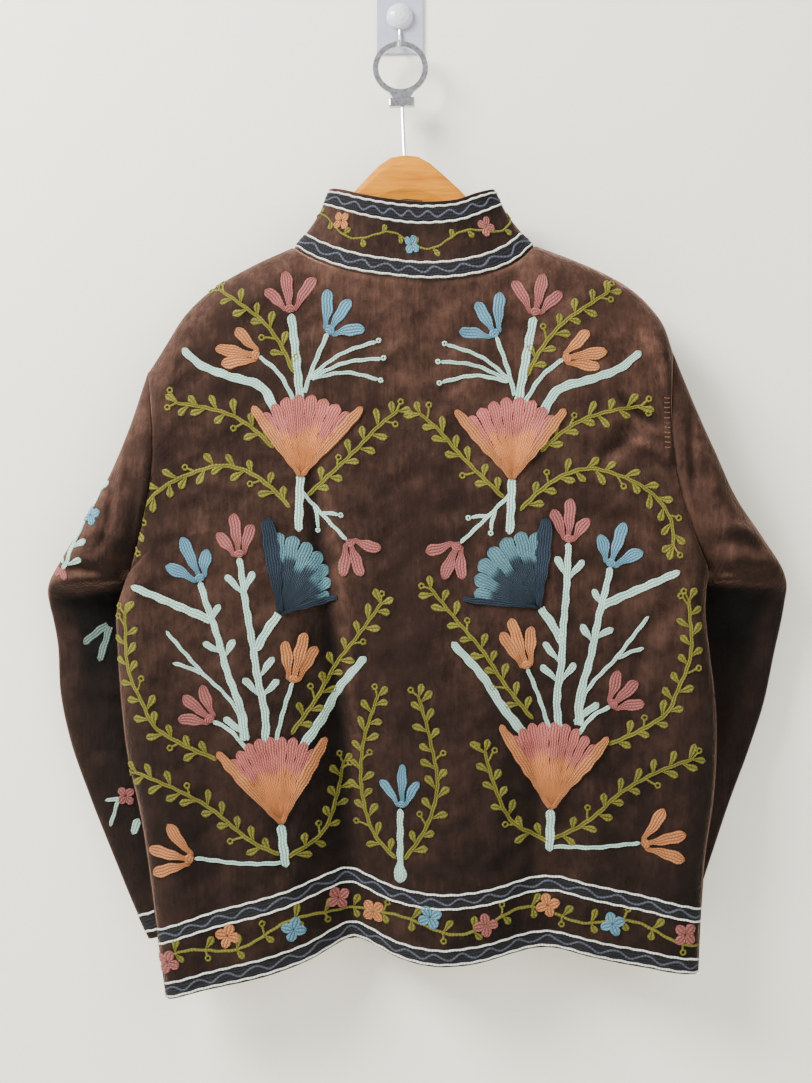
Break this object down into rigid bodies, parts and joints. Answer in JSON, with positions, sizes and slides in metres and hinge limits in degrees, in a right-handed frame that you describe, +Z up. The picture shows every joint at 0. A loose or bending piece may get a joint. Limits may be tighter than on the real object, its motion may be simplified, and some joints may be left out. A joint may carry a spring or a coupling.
{
  "type": "embroidered velvet coat on a wooden hanger with a wall hook",
  "caption": "Hip-length velvet coat with a stand collar and long sleeves, hanging flat on a wooden hanger with a ring from a wall hook, its back to the room.",
  "frame": {"origin": "centre of the back of the wall hook's plate, on the wall", "axes": "+Z up, +Y into the wall, -Y towards the room and out of the coat's back, +X to the right of someone who faces the wall"},
  "size_m": [0.7688, 0.0881, 1.0809],
  "materials": {
    "velvet": "cotton velvet with a short pile",
    "wood": "clear varnish",
    "steel": "bright plated",
    "plastic": "gloss"
  },
  "bodies": {
    "root": {"back_panel": "velvet", "front_left": "velvet", "front_right": "velvet", "sleeve_left_upper": "velvet", "sleeve_left_lower": "velvet", "sleeve_right_upper": "velvet", "sleeve_right_lower": "velvet", "collar": "velvet", "hanger": "wood", "ring": "steel", "clip": "steel", "pin": "steel", "hook_plate": "plastic", "hook_dome": "plastic", "hook_wire": "steel"}
  },
  "joints": []
}
